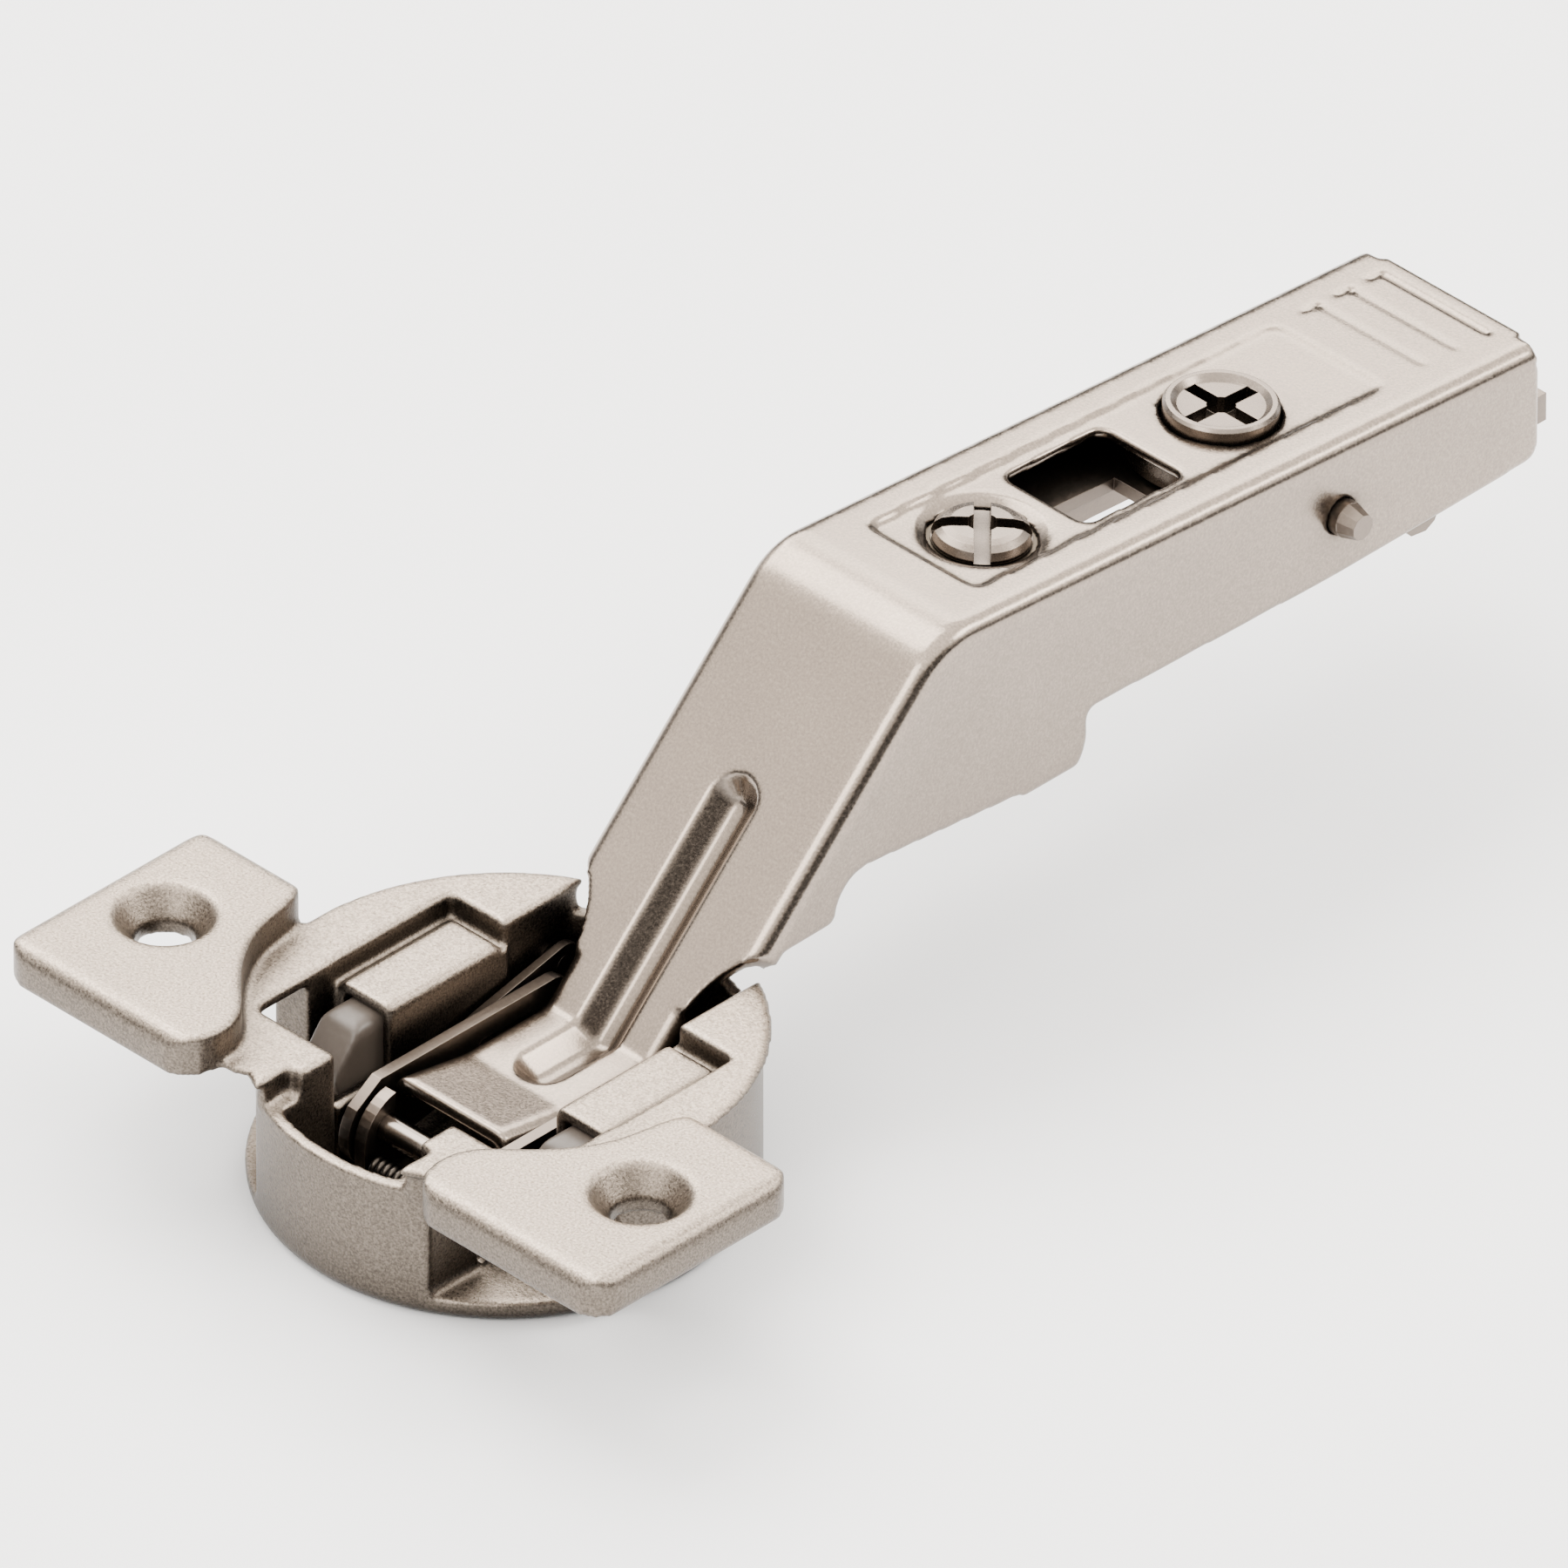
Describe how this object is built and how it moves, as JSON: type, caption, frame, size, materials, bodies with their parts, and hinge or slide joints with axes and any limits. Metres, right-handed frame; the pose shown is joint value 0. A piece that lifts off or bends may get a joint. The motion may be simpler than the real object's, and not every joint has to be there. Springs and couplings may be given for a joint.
{
  "type": "concealed hinge",
  "caption": "Concealed cabinet hinge with a screw-on cup, cranked sheet-metal arm, soft-close dampers and cross-slot adjusting screws.",
  "frame": {"origin": "centre of the cup on the door face, in the plane where the wings and rim rest", "axes": "+Z out of the cup, +Y the way the open arm reaches, +X along the hinge pins"},
  "size_m": [0.0566, 0.1113, 0.0311],
  "materials": {
    "cast_nickel": "speckled satin nickel on cast zinc",
    "sheet_nickel": "satin nickel on pressed steel",
    "link_steel": "satin nickel, in shade",
    "bright_pin": "bright turned steel",
    "screw_nickel": "nickel on steel",
    "damper_grey": "warm grey plastic",
    "damper_dark": "dark plastic",
    "spring_steel": "spring steel",
    "nut_brass": "plated brass"
  },
  "bodies": {
    "cup": {"hinge_cup": "cast_nickel", "front_cup_pin": "bright_pin", "front_seat": "link_steel", "rear_cup_studs": "link_steel", "closing_spring": "spring_steel", "left_damper_body": "damper_dark", "right_damper_body": "damper_dark"},
    "outer_links": {"left_outer_link": "link_steel", "right_outer_link": "link_steel"},
    "inner_links": {"left_inner_link": "link_steel", "right_inner_link": "link_steel"},
    "arm_body": {"arm": "sheet_nickel", "arm_rear_studs": "link_steel", "arm_slot_studs": "link_steel", "arm_cross_pin": "link_steel", "screw_nut": "nut_brass"},
    "channel": {"inner_channel": "link_steel", "lever_pin": "link_steel", "lever_spring": "spring_steel"},
    "depth_screw": {"depth_adjust_screw": "screw_nickel"},
    "side_screw": {"side_adjust_screw": "screw_nickel"},
    "lever": {"clip_lever": "link_steel"},
    "left_slider": {"left_damper_slider": "damper_grey"},
    "right_slider": {"right_damper_slider": "damper_grey"}
  },
  "joints": [
    {"name": "outer_link_fold", "type": "hinge", "parent": "cup", "child": "outer_links", "pos_m": [0, -0.00667, -0.00673], "axis": [1, 0, 0], "range_deg": [0, 52]},
    {"name": "arm_fold", "type": "hinge", "parent": "outer_links", "child": "arm_body", "pos_m": [0, 0.01033, -0.0068], "axis": [1, 0, 0], "range_deg": [0, 42]},
    {"name": "inner_link_fold", "type": "hinge", "parent": "cup", "child": "inner_links", "pos_m": [0, 0.0126, -0.0044], "axis": [1, 0, 0], "range_deg": [-43.9, 0]},
    {"name": "left_damper_travel", "type": "slide", "parent": "cup", "child": "left_slider", "axis": [0, 1, 0], "range_m": [0, 0.003], "stiffness_N_per_m": 150},
    {"name": "right_damper_travel", "type": "slide", "parent": "cup", "child": "right_slider", "axis": [0, 1, 0], "range_m": [0, 0.003], "stiffness_N_per_m": 150},
    {"name": "depth_screw_turn", "type": "hinge", "parent": "arm_body", "child": "depth_screw", "pos_m": [0, 0.06791, 0.01708], "axis": [0, 0.0734, 0.9973], "range_deg": [-90, 90]},
    {"name": "depth_travel", "type": "slide", "parent": "arm_body", "child": "channel", "axis": [0, 0.9973, -0.0734], "range_m": [-0.00095, 0.00095]},
    {"name": "side_screw_turn", "type": "hinge", "parent": "arm_body", "child": "side_screw", "pos_m": [0, 0.04517, 0.01875], "axis": [0, 0.0734, 0.9973], "range_deg": [-180, 180]},
    {"name": "lever_release", "type": "hinge", "parent": "channel", "child": "lever", "pos_m": [0, 0.0832, 0.0096], "axis": [1, 0, 0], "range_deg": [0, 12], "stiffness_Nm_per_rad": 0.05}
  ],
  "couplings": [
    {"joint": "arm_fold", "follows": "outer_link_fold", "ratio": 0.8077},
    {"joint": "inner_link_fold", "follows": "outer_link_fold", "ratio": -0.8442},
    {"joint": "depth_screw_turn", "follows": "depth_travel", "rad_per_m": 1650}
  ]
}
